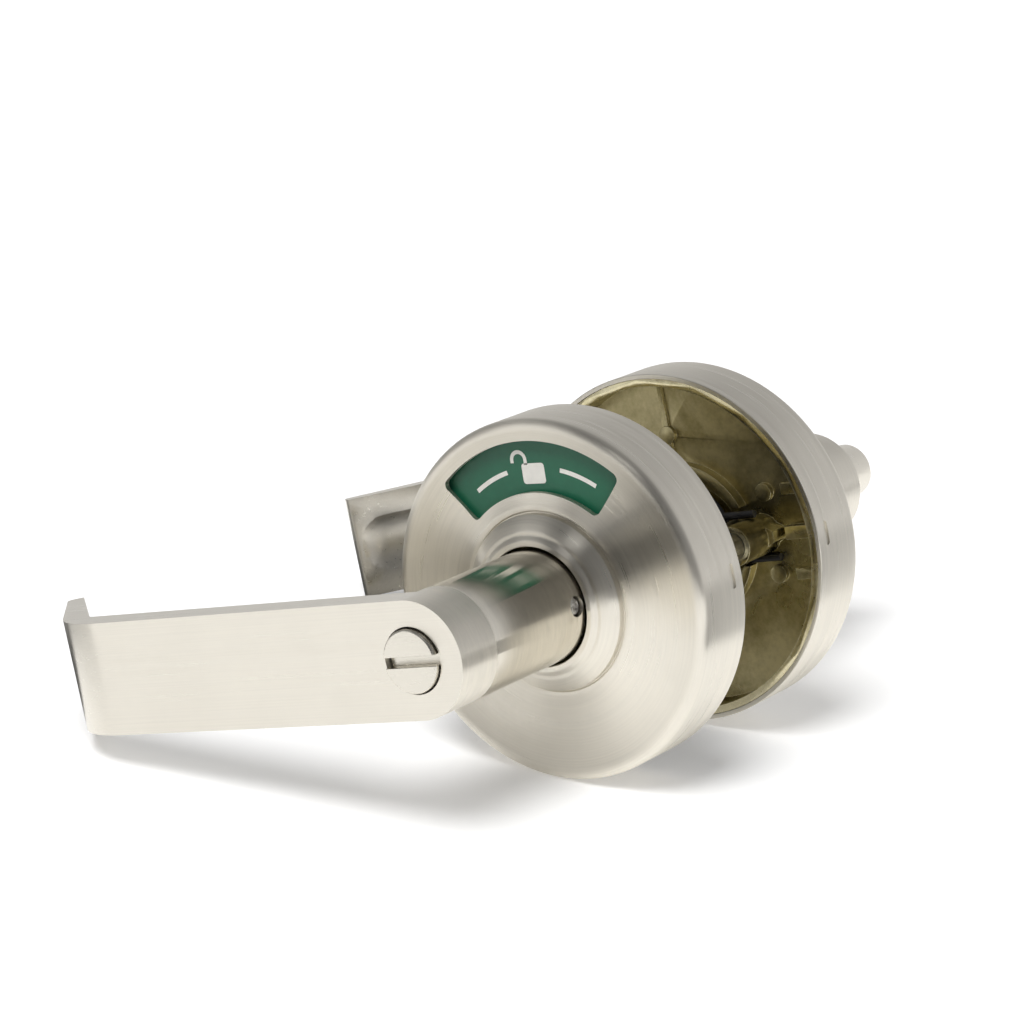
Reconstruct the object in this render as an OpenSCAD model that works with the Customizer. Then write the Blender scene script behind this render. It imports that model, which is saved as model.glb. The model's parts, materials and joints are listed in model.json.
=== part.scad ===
// Privacy lever lock with an indicator window, trims for both faces of a door.
// Sizes are millimetres. The axis of the lock is Y and the middle of the door is at Y = 0.
// The outside trim lies towards -Y and the inside trim towards +Y; both levers point to -X.
// Each trim is drawn in its own frame, with Z up from the middle of the door and Y upwards.

/* [Door] */
// Thickness of the door between the two roses
door_t = 35; // [33:0.5:45]

/* [Rose] */
// Outside diameter of each rose
rose_d = 88.9; // [88:0.1:96]
// Depth of a rose from the door to the rim of its face
rose_depth = 17.6; // [17:0.1:22]
// Sheet thickness of a rose
rose_wall = 1.1; // [0.8:0.1:1.3]
// Radius of the rounded rim between side and face
rose_rim_r = 2; // [1.5:0.1:3]
// Depth of the dish in the face
dish_depth = 1.1; // [0.5:0.1:1.3]
// Radius of the collar round the neck
collar_r = 21.7; // [20.5:0.1:23]
// Step from the face up to the foot of the collar
collar_step = 1.3; // [0.8:0.1:2]
// Height of the collar's lip above the face
collar_h = 5; // [4:0.1:7]
// Free space between the neck and the collar's hole
neck_gap = 0.9; // [0.6:0.1:1.5]
// Distance from the door to the middle of the rim dents
dent_w = 3.9; // [3:0.1:6]
// Length of a rim dent round the side
dent_l = 6; // [4:0.5:8]

/* [Indicator window] */
// Inner radius of the arc window
window_in_r = 26.5; // [25.5:0.1:28]
// Distance from the side of the rose to the arc window
window_edge = 5.35; // [5:0.05:8]
// Half of the window's angle
window_half = 41.8; // [30:0.1:43]
// Corner radius of the window
window_corner = 1.7; // [0.8:0.1:3]
// Turn of the window from the upright
window_turn = -2.6; // [-5:0.1:5]
// Thickness of the indicator disc
disc_t = 0.8; // [0.6:0.1:1]
// Thickness of the colour labels on the disc
label_t = 0.3; // [0.1:0.05:0.4]
// Turn of the indicator between its two labels
indicator_turn = 90; // [88:1:92]

/* [Lever] */
// Diameter of the neck and height of the arm
neck_d = 28.2; // [27.5:0.1:30]
// Distance from the door to the front of the arm
projection = 70.6; // [66:0.1:76]
// Thickness of the arm
arm_t = 8.5; // [7.5:0.1:10]
// Distance from the axis to the corner where the tip turns back
arm_l = 108; // [90:0.5:120]
// Radius of the bend on the front
bend_r = 26; // [15:0.5:30]
// Angle that the tip turns back by
tip_angle = 48.5; // [35:0.5:65]
// Length of the turned back tip, measured from the corner
tip_l = 41.5; // [25:0.5:43]
// Thickness at the end of the tip
tip_t = 4.2; // [3:0.1:6]
// Radius of the finger scoop along the back of the arm
scoop_r = 12; // [10:0.5:16]
// Depth of the finger scoop
scoop_depth = 3; // [1.5:0.1:3.5]

/* [Coin turn] */
// Diameter of the coin turn's head
turn_d = 15.2; // [13:0.1:16]
// Free space round the heads in the levers' faces
head_gap = 0.4; // [0.3:0.05:0.6]
// Height of the coin turn above the lever's face
turn_proud = 1.3; // [0.8:0.1:2.5]
// Width of the coin slot
slot_w = 2.5; // [1.6:0.1:3]
// Depth of the coin slot
slot_depth = 3; // [2:0.1:4]
// Diameter of the coin turn's stem
stem_d = 8; // [7:0.1:9]
// Width of the tailpiece
tail_w = 5.4; // [4:0.1:5.8]
// Thickness of the tailpiece
tail_t = 1.6; // [1.2:0.1:2]

/* [Push button] */
// Diameter of the push button
button_d = 14.3; // [13:0.1:15]
// Height of the push button above the lever's face
button_proud = 18; // [14:0.1:20]
// Travel of the push button
button_travel = 6; // [5:0.1:6.5]
// Diameter of the lock rod
rod_d = 4; // [3.4:0.1:4.2]
// Diameter of the cross pin in the lock rod
cross_pin_d = 2.4; // [2:0.1:2.8]

/* [Spindles] */
// Outside diameter of the tube that carries each lever
spindle_d = 19.6; // [19:0.1:20]
// Wall of that tube
spindle_wall = 1.8; // [1.4:0.1:2]
// Distance from the middle of the door to the tubes' far ends
spindle_far = 60; // [56:0.5:62]
// Width across the flats of the square drive bar
bar_w = 8; // [7.5:0.1:8.4]
// Distance from the middle of the door to the ends of the drive bar
bar_reach = 26; // [25:0.5:27]
// Wall of each bushing
bushing_wall = 1.1; // [0.9:0.1:1.3]
// Radial clearance of turning and sliding fits
fit_gap = 0.08; // [0.04:0.01:0.1]
// Free space between pieces that lie beside each other
seat_gap = 0.2; // [0.1:0.05:0.3]
// Distance from the middle of the door to the catch pins
catch_w = 42.6; // [41.5:0.1:46]
// Diameter of a catch pin
catch_d = 4.2; // [3.6:0.1:4.4]
// Travel of a catch pin
catch_travel = 3.5; // [3.2:0.1:3.6]

/* [Mounting plates] */
// Distance from the door to the floor of a plate
plate_floor = 10; // [9.5:0.1:11]
// Thickness of the floor of a plate
plate_t = 2; // [1.6:0.1:2.4]
// Width of the raised edge round a plate
edge_w = 1.9; // [1.4:0.1:2.6]
// Inner radius of the cup for the return spring
cup_r = 18; // [17.6:0.1:18.4]
// Wall of the cup
cup_wall = 2.1; // [1.8:0.1:2.4]
// Height of the cup's rim above the floor
cup_h = 3; // [2:0.1:4]
// Distance between the two posts
post_pitch = 44.4; // [44:0.1:46]
// Outside diameter of a tubular post
post_d = 10.1; // [9.6:0.1:10.4]
// Length that the inside posts stand out past their rose
post_proud = 4.5; // [3:0.1:6]
// Diameter of the threaded posts through the door
stud_d = 7.4; // [6.4:0.1:7.6]
// Diameter of the mounting screws
screw_d = 4; // [3.5:0.1:4.4]
// Diameter of the round bosses on the floor
boss_d = 4.6; // [4:0.1:5]
// Radius of the circle that the bosses lie on
boss_circle_r = 27.2; // [27:0.1:29]

/* [Return springs] */
// Wire diameter of a return spring
wire_d = 1.9; // [1.6:0.1:1.9]
// Mean radius of its coil
coil_r = 14.6; // [14.5:0.05:14.7]
// Rise of the coil in one turn
coil_pitch = 2.45; // [2.45:0.05:2.6]

/* [Hidden] */

$fn = 96;
eps = 0.01;
nickel = [0.79, 0.77, 0.73];
zinc = [0.62, 0.56, 0.36];
steel = [0.68, 0.68, 0.7];
black = [0.1, 0.1, 0.1];
bronze = [0.66, 0.5, 0.3];
nylon = [0.88, 0.87, 0.82];
green = [0.1, 0.32, 0.24];
red = [0.7, 0.1, 0.1];

// Levels, as distances from the middle of the door
face_w = door_t / 2;
rose_w = face_w + rose_depth;
lip_w = rose_w + collar_h;
front_w = face_w + projection;
floor_w = face_w + plate_floor;
back_w = floor_w + plate_t;

// Radii of the rose
rose_r = rose_d / 2;
shell_r = rose_r - rose_wall;
neck_r = neck_d / 2;
collar_hole_r = neck_r + neck_gap;
window_out_r = rose_r - window_edge;
dent_h = 1.7;
dent_depth = 0.5;
dish_in_r = collar_r + 1.6;
dish_out_r = rose_r - rose_rim_r - 0.6;

// Sizes of the mounting plates
plate_r = shell_r - fit_gap;
edge_in_r = plate_r - edge_w;
cup_out_r = cup_r + cup_wall;
cup_floor_t = 1.5;
cup_back_w = back_w + 3;
post_x = post_pitch / 2;
post_r = post_d / 2;
post_top_w = face_w + 1.5;
stud_r = stud_d / 2;
spigot_r = stud_r - 0.2;
stud_far = 24;
stud_bore_l = 22;
stud_from_w = post_proud - face_w + 0.5;
screw_r = screw_d / 2;
screw_end_w = 4;
screw_head_r = 3.3;
screw_head_h = 2;
screw_seat_r = screw_head_r + 0.3;
recess_l = 3.6;
recess_w = 0.9;
boss_h = 1.3;
rib_h = 0.8;
seat_h = 1.2;

// Spindle stack
spindle_r = spindle_d / 2;
spindle_in_r = spindle_r - spindle_wall;
bushing_r = spindle_r + fit_gap;
bearing_r = bushing_r + bushing_wall;
bearing_out_r = 12.9;
bearing_w = back_w + 3.9;
washer_t = 0.6;
neck_back_w = bearing_w + washer_t + 2 * seat_gap;
spindle_near = face_w + 0.4;
ring_t = 1;
ring_groove = 0.6;
ring_w = spindle_near + 0.4;
cam_t = 1.2;
cam_w = ring_w + ring_t + seat_gap;
boss_near_w = cam_w + cam_t + 0.3;
finger_r = post_x - post_r - 0.25;
finger_t = 1.1;
finger_half = 16;
bar_r = bar_w * 0.69;
bar_bore_r = rod_d / 2 + fit_gap;
hub_w = spindle_near + 3.1;
hub_t = 3;
hub_inset = 2;
bar_end_w = hub_w + hub_t + 1;

// Return spring
wire_r = wire_d / 2;
leg_v = post_r + wire_r + 0.1;
leg_bend_r = 2.5;
leg_bend_u = sqrt(pow(coil_r + leg_bend_r, 2) - pow(leg_v + leg_bend_r, 2));
leg_angle = atan2(leg_v + leg_bend_r, leg_bend_u);
coil_turn = 720 - 2 * leg_angle;
leg_low_w = floor_w - wire_r - seat_gap;
leg_top_w = leg_low_w - coil_pitch * coil_turn / 360;
leg_top_u = 24.5;
leg_low_u = 27;
wire_sides = 6;

// Indicator
disc_w = back_w + seat_h + 0.3;
disc_r = window_out_r + 2;
disc_in_r = cup_out_r + fit_gap;
label_half = indicator_turn / 2 - 0.3;
label_in_r = window_in_r - 1;
label_out_r = window_out_r + 1;
driver_t = 1.2;
driver_w = spindle_near - 0.5 - driver_t;
driver_r = 9.2;
driver_in_r = driver_r - 1.6;
driver_arm_w = 7;
driver_tab_t = 2;
driver_tab_r = 24.3;
driver_rest = 90 + indicator_turn / 2;
track_in_r = driver_tab_r - driver_tab_t - 0.3;
track_out_r = driver_tab_r + 0.3;
track_half = indicator_turn / 2 + 12;
pin_rest = driver_w - button_travel - cross_pin_d / 2 - 0.4;

// Lever
web_depth = 16;
pocket_depth = 8;
web_w = front_w - web_depth;
pocket_w = front_w - pocket_depth;
head_edge = 0.6;
lever_bore_r = spindle_r + fit_gap;
turn_r = turn_d / 2;
stem_r = stem_d / 2;
stem_hole_r = stem_r + fit_gap;
clip_groove = 0.6;
clip_t = 0.9;
stem_proud = 2.2;
stem_end_w = web_w - stem_proud;
tail_grip = 3.9;
tail_slot = 4;
tail_end_w = back_w + 1.3;
tip_dir = [-cos(tip_angle), -sin(tip_angle)];
tip_out = [-arm_l, front_w] + tip_l * tip_dir;
tip_in = tip_out + tip_t * [sin(tip_angle), -cos(tip_angle)];
tip_corner = [-arm_l + 1.8, front_w - arm_t];
back_angle = atan2(tip_corner[1] - tip_in[1], tip_corner[0] - tip_in[0]);
tip_land = 6;
button_r = button_d / 2;
button_hole_r = button_r + head_gap + 0.05;
guide_depth = 3;
guide_w = web_w - guide_depth;
guide_from_w = spindle_far + 1;
button_edge = 0.5;
button_inset = 1.6;
button_back_w = spindle_far - button_inset;
button_bore_l = 6;
button_collar_t = 2.2;
rod_end = 24;
catch_r = catch_d / 2;
catch_out_r = spindle_r - 0.1 + catch_travel;
catch_flange_t = 0.6;
catch_head_r = catch_r + 0.5;
catch_flange_r = sqrt(pow(spindle_in_r, 2) - pow(catch_head_r, 2)) - 0.1;
leaf_t = 0.4;
leaf_w = 5;

// Button spring
button_wire_r = 0.4;
button_coil_r = rod_d / 2 + 0.85;
button_curls = 9;

// Placing of the two trims
module outside() rotate([90, 0, 0]) children();
module inside() mirror([0, 1, 0]) rotate([90, 0, 0]) children();

// Ring or disc between two levels
module ring(r_out, r_in, w0, w1)
    translate([0, 0, w0]) difference() {
        cylinder(r = r_out, h = w1 - w0);
        translate([0, 0, -1]) cylinder(r = r_in, h = w1 - w0 + 2);
    }

module disc(r, w0, w1) translate([0, 0, w0]) cylinder(r = r, h = w1 - w0);

// Flat pie slice from angle a0 to a1, wide enough to cut everything inside radius r
module slice(r, a0, a1) {
    n = ceil((a1 - a0) / 60);
    reach = r / cos(30) + 1;
    polygon(concat([[0, 0]], [for (i = [0 : n])
        let (a = a0 + (a1 - a0) * i / n) reach * [cos(a), sin(a)]]));
}

// Flat ring sector with square corners
module sector(r_in, r_out, a0, a1)
    intersection() {
        difference() { circle(r = r_out); circle(r = r_in); }
        slice(r_out, a0, a1);
    }

// Points on an arc round c, without its first one
function arc(c, r, a0, a1, n) = [for (i = [1 : n]) let (a = a0 + (a1 - a0) * i / n) c + r * [cos(a), sin(a)]];
function spot(r, a) = r * [cos(a), sin(a)];

// Flat ring sector round the upright, with its corners rounded
module rounded_sector(r_in, r_out, half, c) {
    a_in = half - asin(c / (r_in + c));
    a_out = half - asin(c / (r_out - c));
    polygon(concat(
        arc([0, 0], r_out, 90 - a_out, 90 + a_out, 40),
        arc(spot(r_out - c, 90 + a_out), c, 90 + a_out, 180 + half, 6),
        arc(spot(r_in + c, 90 + a_in), c, 180 + half, 270 + a_in, 6),
        arc([0, 0], r_in, 90 + a_in, 90 - a_in, 28),
        arc(spot(r_in + c, 90 - a_in), c, 270 - a_in, 360 - half, 6),
        arc(spot(r_out - c, 90 - a_out), c, -half, 90 - a_out, 6)));
}

// Profile of a rose's outside at a distance t inside its skin, as radius and level
module rose_outline(t) {
    rim = max(rose_rim_r - t, 0.3);
    face = rose_w - t;
    r = rose_r - t;
    difference() {
        union() {
            translate([0, face_w - 1]) square([r, face - rim - face_w + 1]);
            translate([0, face - rim - eps]) square([r - rim, rim + eps]);
            translate([r - rim, face - rim]) circle(r = rim, $fn = 48);
        }
        dish_outline(t);
    }
    collar_outline(t);
}

// Shallow hollow between the collar and the rim
module dish_outline(t) {
    chord = dish_out_r - dish_in_r;
    dish_r = chord * chord / (8 * dish_depth) + dish_depth / 2;
    translate([(dish_in_r + dish_out_r) / 2, rose_w - dish_depth + dish_r])
        circle(r = dish_r + t, $fn = 360);
}

// Raised collar with a bulged flank, a stepped foot and a rounded lip
module collar_outline(t) {
    foot = [collar_r - t, rose_w + collar_step - t];
    lip = [collar_hole_r + 1.3 - t * 0.6, lip_w - t];
    mid = (foot + lip) / 2;
    flank = foot - lip;
    bulge_r = 16;
    len = norm(flank);
    inward = [flank[1], -flank[0]] / len;
    centre = mid + inward * sqrt(bulge_r * bulge_r - len * len / 4);
    intersection() {
        translate(centre) circle(r = bulge_r, $fn = 180);
        translate([0, rose_w - 3]) square([foot[0], lip[1] - rose_w + 3]);
    }
}

// Spun cover of a trim; a window is cut for the outside one
module rose(window) {
    difference() {
        rotate_extrude($fn = 180) difference() {
            intersection() {
                rose_outline(0);
                translate([collar_hole_r, face_w]) square([rose_r, lip_w]);
            }
            intersection() {
                rose_outline(rose_wall);
                translate([0, face_w - 2]) square([rose_r, lip_w]);
            }
        }
        if (window)
            translate([0, 0, rose_w - 5]) linear_extrude(10)
                rotate(window_turn)
                    rounded_sector(window_in_r, window_out_r, window_half, window_corner);
        for (side = [-1, 1])
            translate([side * rose_r, 0, face_w + dent_w])
                rotate([90, 0, 0]) {
                    cube([dent_depth * 2, dent_h, dent_l - dent_h], center = true);
                    for (e = [-1, 1]) translate([0, 0, e * (dent_l - dent_h) / 2]) rotate([0, 90, 0])
                        cylinder(d = dent_h, h = dent_depth * 2, center = true, $fn = 24);
                }
    }
}

module outside_rose() color(nickel) outside() rose(true);
module inside_rose() color(nickel) inside() rose(false);

// Floor, raised edge, cup and bearing boss that both plates share
module plate_body() {
    ring(plate_r, edge_in_r, face_w + seat_gap, back_w);
    ring(plate_r, cup_r, floor_w, back_w);
    ring(cup_out_r, cup_r, floor_w - cup_h, cup_back_w);
    ring(cup_out_r, bearing_r, cup_back_w - cup_floor_t, cup_back_w);
    ring(bearing_out_r, bearing_r, boss_near_w, bearing_w);
    for (s = [-1, 1]) {
        for (a = [-22.5, 22.5])
            rotate(90 - s * 90 + a) translate([boss_circle_r, 0, floor_w - boss_h])
                cylinder(d = boss_d, h = boss_h + eps, $fn = 36);
        translate([0, s * boss_circle_r, floor_w - boss_h])
            cylinder(d = boss_d, h = boss_h + eps, $fn = 36);
        translate([0, s * (cup_out_r + edge_in_r) / 2, floor_w - rib_h / 2])
            cube([1.2, edge_in_r - cup_out_r + 1, rib_h + 2 * eps], center = true);
        side_ribs(s);
        translate([s * post_x, 0, 0]) gusset(s);
    }
}

// Flat ribs that run from a post and its bosses out to the raised edge
module side_ribs(s) {
    rib_x = boss_circle_r + 3;
    for (r = [[0, 3.3, 2.5], [10.8, 2.8, 1], [-10.8, 2.8, 1]])
        translate([s > 0 ? rib_x : -edge_reach(r[0]), r[0] - r[1] / 2, floor_w - r[2]])
            cube([edge_reach(r[0]) - rib_x, r[1], r[2] + eps]);
}

// Distance along X at which a rib at height v ends, just inside the raised edge
function edge_reach(v) = sqrt(pow(edge_in_r + 0.4, 2) - pow(abs(v) + 1.7, 2));

// Pointed web on the outer side of a post
module gusset(s)
    mirror([s > 0 ? 0 : 1, 0, 0]) translate([0, 0, floor_w - 5.7]) linear_extrude(5.7 + eps)
        polygon([[0, 4.2], [2.2, 3.8], [6.5, 1.3], [6.5, -1.3], [2.2, -3.8], [0, -4.2]]);

// Slots in the cup's rim for the legs of the return spring
module leg_slots()
    for (s = [-1, 1])
        translate([cup_r - 3, s * leg_v - wire_r - 0.4, floor_w - cup_h - 1])
            cube([cup_wall + 5, wire_d + 0.8, cup_h + 1]);

module outside_plate() color(zinc) outside()
    difference() {
        union() {
            plate_body();
            ring(cup_out_r + 2.4, cup_r, back_w - eps, back_w + seat_h);
            for (s = [-1, 1]) translate([s * post_x, 0, 0]) disc(post_r, post_top_w, floor_w + eps);
        }
        leg_slots();
        for (s = [-1, 1]) translate([s * post_x, 0, 0]) disc(spigot_r + 0.02, face_w - 1, back_w + 3);
        translate([0, 0, floor_w - 3]) linear_extrude(plate_t + 6)
            sector(track_in_r, track_out_r, 90 - track_half, 90 + track_half);
    }

module inside_plate() color(zinc) inside()
    difference() {
        union() {
            plate_body();
            for (s = [-1, 1]) translate([s * post_x, 0, 0])
                disc(post_r, face_w - post_proud, floor_w + eps);
        }
        leg_slots();
        for (s = [-1, 1]) translate([s * post_x, 0, 0]) {
            disc(spigot_r + fit_gap, face_w - post_proud - 1, floor_w - 0.5);
            disc(screw_r + 0.3, floor_w - 1, back_w + 1);
            disc(screw_seat_r, back_w, cup_back_w + 1);
        }
    }

// Two posts with a blind thread, fast in the outside plate and free in the inside one
module threaded_posts() color(steel) outside()
    for (s = [-1, 1]) translate([s * post_x, 0, 0]) difference() {
        union() {
            disc(spigot_r, -stud_far, back_w - 0.1);
            disc(stud_r, stud_from_w, post_top_w - 0.05);
        }
        disc(screw_r + 0.05, -stud_far - 1, stud_bore_l - stud_far);
    }

// Two pan head screws with a cross recess
module mounting_screws() color(steel) inside()
    for (s = [-1, 1]) translate([s * post_x, 0, 0]) difference() {
        union() {
            disc(screw_r, screw_end_w, back_w + 0.5);
            translate([0, 0, back_w + 0.1])
                cylinder(r1 = screw_head_r, r2 = screw_head_r - 0.6, h = screw_head_h);
        }
        for (a = [0, 90]) rotate(a) translate([-recess_l / 2, -recess_w / 2, back_w + screw_head_h / 2])
            cube([recess_l, recess_w, screw_head_h]);
    }

module bushing() ring(bearing_r, bushing_r, boss_near_w, bearing_w);
module outside_bushing() color(bronze) outside() bushing();
module inside_bushing() color(bronze) inside() bushing();

module washer() ring(neck_r - 0.4, bushing_r + 0.3, bearing_w + seat_gap, bearing_w + seat_gap + washer_t);
module outside_washer() color(nylon) outside() washer();
module inside_washer() color(nylon) inside() washer();

// Tube swept along a path that stays nearly level
function unit(v) = v / norm(v);
function tangent(path, i) = let (n = len(path) - 1)
    unit(path[min(i + 1, n)] - path[max(i - 1, 0)]);
function tube_points(path, r) = [for (i = [0 : len(path) - 1])
    let (t = tangent(path, i), side = unit(cross(t, [0, 0, 1])), up = cross(side, t))
    for (k = [0 : wire_sides - 1])
        path[i] + r * (cos(360 * k / wire_sides) * side + sin(360 * k / wire_sides) * up)];
function tube_faces(rings) = let (m = wire_sides) concat(
    [for (i = [0 : rings - 2]) for (k = [0 : m - 1])
        let (a = i * m + k, b = i * m + (k + 1) % m) each [[a, a + m, b], [b, a + m, b + m]]],
    [for (k = [1 : m - 2]) [0, k, k + 1]],
    [for (k = [1 : m - 2]) let (e = (rings - 1) * m) [e, e + k + 1, e + k]]);
module wire(path, r) polyhedron(points = tube_points(path, r), faces = tube_faces(len(path)));

// Path of a return spring: leg, bend, coil, bend and leg
coil_steps = ceil(coil_turn / 45) * 2;
spring_path = concat(
    [[leg_top_u, leg_v, leg_top_w]],
    [for (a = [0 : 20 : 60]) bend_point(1, min(a, 90 - leg_angle), leg_top_w)],
    [for (i = [0 : coil_steps]) let (f = i / coil_steps, a = leg_angle + f * coil_turn)
        [coil_r * cos(a), coil_r * sin(a), leg_top_w + f * (leg_low_w - leg_top_w)]],
    [for (a = [60 : -20 : 0]) bend_point(-1, min(a, 90 - leg_angle), leg_low_w)],
    [[leg_low_u, -leg_v, leg_low_w]]);
function bend_point(s, a, w) =
    [leg_bend_u - leg_bend_r * sin(a), s * (leg_v + leg_bend_r - leg_bend_r * cos(a)), w];

// Least gap between passes of the wire that are more than a third of a turn apart
apart = ceil(coil_steps / (coil_turn / 360) / 3);
spring_gap = min([for (i = [0 : len(spring_path) - 1]) for (j = [i + apart : 1 : len(spring_path) - 1])
    norm(spring_path[i] - spring_path[j])]) - wire_d;
echo(return_spring_gap = spring_gap);

module outside_return_spring() color(black) outside() wire(spring_path, wire_r);
module inside_return_spring() color(black) inside() wire(spring_path, wire_r);

// Plan of the arm with its turned back tip, X along the arm and Y away from the door
module arm_plan() {
    corner = [-arm_l, front_w];
    tangent_l = bend_r * tan(tip_angle / 2);
    round_r = 1.6;
    difference() {
        polygon([[0, front_w], corner, tip_out, tip_in, tip_corner, [0, front_w - arm_t]]);
        difference() {
            polygon([corner + [tangent_l, 0], corner + [0, 1], corner + [-1, 0],
                corner + tangent_l * tip_dir]);
            translate([-arm_l + tangent_l, front_w - bend_r]) circle(r = bend_r, $fn = 180);
        }
        translate(tip_out) rotate(tip_angle) difference() {
            translate([-1, -1]) square(round_r + 1);
            translate([round_r, 0]) circle(r = round_r, $fn = 48);
        }
    }
}

// Hollows along the back of the arm and of the tip
module scoop() {
    off = scoop_r - scoop_depth;
    arm_end = -neck_r - scoop_r - 1;
    arm_start = tip_corner[0] + scoop_r;
    translate([arm_start, 0, tip_corner[1] - off])
        rotate([0, 90, 0]) scoop_run(arm_end - arm_start);
    translate([tip_corner[0], 0, tip_corner[1]]) rotate([0, -90 - back_angle, 0])
        translate([-off, 0, scoop_r]) scoop_run(tip_l - 2 * scoop_r - tip_land);
}

// Straight run of a hollow; its balls are a little slimmer, so that no surfaces just touch
module scoop_run(l) {
    cylinder(r = scoop_r, h = l);
    for (z = [0, l]) translate([0, 0, z]) sphere(r = scoop_r - 0.02);
}

// Outer form of a lever: neck, arm and tip, with the scoop
module lever_form() {
    difference() {
        union() {
            disc(neck_r, neck_back_w, front_w);
            rotate([90, 0, 0]) linear_extrude(neck_d, center = true) arm_plan();
        }
        scoop();
    }
}

// Hole in the neck for the catch pin
module catch_hole(r, from, to)
    translate([from, 0, catch_w]) rotate([0, 90, 0]) cylinder(r = r, h = to - from, $fn = 36);

module outside_lever() color(nickel) outside()
    difference() {
        lever_form();
        disc(lever_bore_r, neck_back_w - 1, web_w);
        disc(stem_hole_r, web_w - 1, front_w);
        disc(turn_r + head_gap, pocket_w, front_w + 1);
        catch_hole(catch_r + 0.2, 0, neck_r + 2);
    }

module inside_lever() color(nickel) inside()
    difference() {
        lever_form();
        disc(lever_bore_r, neck_back_w - 1, guide_w);
        disc(button_hole_r, guide_w - 1, front_w + 1);
        catch_hole(catch_r + 0.2, 0, neck_r + 2);
    }

// Tube with a ring groove near the door and a hole for the catch pin
module spindle() {
    difference() {
        ring(spindle_r, spindle_in_r, spindle_near, spindle_far);
        ring(spindle_r + 1, spindle_r - ring_groove, ring_w - 0.05, ring_w + ring_t + 0.05);
        catch_hole(catch_r + fit_gap, 0, spindle_r + 2);
    }
}

module outside_spindle() color(steel) outside() spindle();
module inside_spindle() color(steel) inside() spindle();

// Hub in the outside spindle that the end of the drive bar turns in
module clutch_hub() color(steel) outside()
    ring(spindle_in_r - 0.02, bar_r + fit_gap, bar_reach - hub_inset - hub_t, bar_reach - hub_inset);

// Open ring that snaps in a groove
module snap_ring(r_out, r_in, w, t)
    translate([0, 0, w]) linear_extrude(t) difference() {
        circle(r = r_out);
        circle(r = r_in);
        translate([-r_in * 0.4, 0]) square([r_in * 0.8, r_out + 1]);
    }

module outside_retaining_ring() color(black) outside()
    snap_ring(spindle_r + 2.2, spindle_r - ring_groove + 0.05, ring_w, ring_t);
module inside_retaining_ring() color(black) inside()
    snap_ring(spindle_r + 2.2, spindle_r - ring_groove + 0.05, ring_w, ring_t);

// Disc on the spindle with a finger between the legs of the return spring
module spring_cam() {
    ring(spindle_r + 3.4, spindle_r + 0.03, cam_w, cam_w + cam_t);
    translate([0, 0, cam_w]) linear_extrude(cam_t)
        sector(spindle_r + 3, finger_r, -finger_half, finger_half);
    translate([0, 0, cam_w]) linear_extrude(leg_low_w + wire_r - cam_w - 0.1)
        sector(finger_r - finger_t, finger_r, -finger_half, finger_half);
}

module outside_spring_cam() color(steel) outside() spring_cam();
module inside_spring_cam() color(steel) inside() spring_cam();

// Headed pin, pushed outwards through the spindle into the neck
module catch_pin() {
    catch_hole(catch_r, catch_flange_r - catch_flange_t, catch_out_r - 0.3);
    translate([catch_out_r - 0.3 - eps, 0, catch_w]) rotate([0, 90, 0])
        cylinder(r1 = catch_r, r2 = catch_r - 0.3, h = 0.3 + eps, $fn = 36);
    catch_hole(catch_head_r, catch_flange_r - catch_flange_t, catch_flange_r);
}

module outside_catch_pin() color(steel) outside() catch_pin();
module inside_catch_pin() color(steel) inside() catch_pin();

// Open band spring between the spindle's far wall and the catch pin's head
module catch_spring() {
    near = catch_flange_r - catch_flange_t - 0.1;
    far = spindle_in_r - 0.1;
    r = (near + far) / 2;
    translate([(near - far) / 2, 0, catch_w - leaf_w / 2]) linear_extrude(leaf_w)
        sector(r - leaf_t, r, -155, 155);
}

module outside_catch_spring() color(black) outside() catch_spring();
module inside_catch_spring() color(black) inside() catch_spring();

// Slotted head and stem in the outside lever's face
module coin_turn() color(nickel) outside()
    difference() {
        union() {
            disc(turn_r, pocket_w + seat_gap, front_w + turn_proud - head_edge);
            translate([0, 0, front_w + turn_proud - head_edge])
                cylinder(r1 = turn_r, r2 = turn_r - head_edge, h = head_edge);
            disc(stem_r, stem_end_w, pocket_w + seat_gap + eps);
        }
        translate([-turn_r - 1, -slot_w / 2, front_w + turn_proud - slot_depth])
            cube([turn_d + 2, slot_w, slot_depth + 1]);
        ring(stem_r + 1, stem_r - clip_groove, web_w - 0.1 - clip_t, web_w - 0.1);
        translate([-tail_w / 2, -tail_t / 2, stem_end_w - 1]) cube([tail_w, tail_t, tail_slot + 1]);
    }

module tailpiece() color(steel) outside()
    translate([-tail_w / 2 + 0.03, -tail_t / 2 + 0.03, tail_end_w])
        cube([tail_w - 0.06, tail_t - 0.06, stem_end_w + tail_grip - tail_end_w]);

module coin_turn_clip() color(black) outside()
    snap_ring(stem_r + 1.8, stem_r - clip_groove + 0.05, web_w - 0.15 - clip_t + 0.05, clip_t - 0.1);

// Disc behind the window, turning on the cup of the outside plate
module indicator_disc() color(steel) outside()
    translate([0, 0, disc_w]) linear_extrude(disc_t) difference() {
        circle(r = disc_r);
        circle(r = disc_in_r);
        rotate(driver_rest) translate([driver_tab_r - driver_tab_t - 0.03, -driver_arm_w / 2 - 0.03])
            square([driver_tab_t + 0.06, driver_arm_w + 0.06]);
    }

module label(turn)
    translate([0, 0, disc_w + disc_t]) linear_extrude(label_t) rotate(turn + window_turn)
        sector(label_in_r, label_out_r, 90 - label_half, 90 + label_half);

module green_label() color(green) outside() label(0);
module red_label() color(red) outside() label(indicator_turn);

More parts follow.
